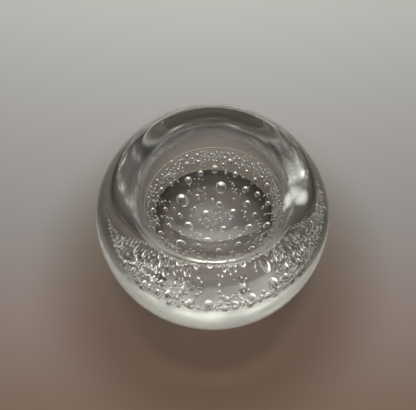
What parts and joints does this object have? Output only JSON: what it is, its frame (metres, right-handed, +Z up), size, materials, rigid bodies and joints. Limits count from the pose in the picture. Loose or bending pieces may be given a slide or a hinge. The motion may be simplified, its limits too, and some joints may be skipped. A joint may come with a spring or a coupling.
{
  "type": "paperweight",
  "caption": "Clear glass paperweight: a heavy ball-shaped bowl with a flat ground base, a fat rounded rim, a smooth round hollow and a bowl-shaped layer of trapped air bubbles",
  "frame": {"origin": "middle of the flat base, on the surface that the paperweight stands on", "axes": "+Z up through the middle of the hollow, -Y the front, +X to the right seen from the front"},
  "size_m": [0.1, 0.1, 0.0538],
  "materials": {
    "clear_glass": "fire-polished clear soda-lime glass with a very faint grey-green tint",
    "trapped_air": "smooth inside face of an air bubble in clear glass"
  },
  "bodies": {
    "root": {"outer_casing": "clear_glass", "bubble_layer": "clear_glass", "first_gather": "clear_glass", "floor_bubbles_large": "trapped_air", "floor_bubbles_medium": "trapped_air", "floor_bubbles_small": "trapped_air", "wall_bubbles": "trapped_air", "edge_beads": "trapped_air"}
  },
  "joints": []
}
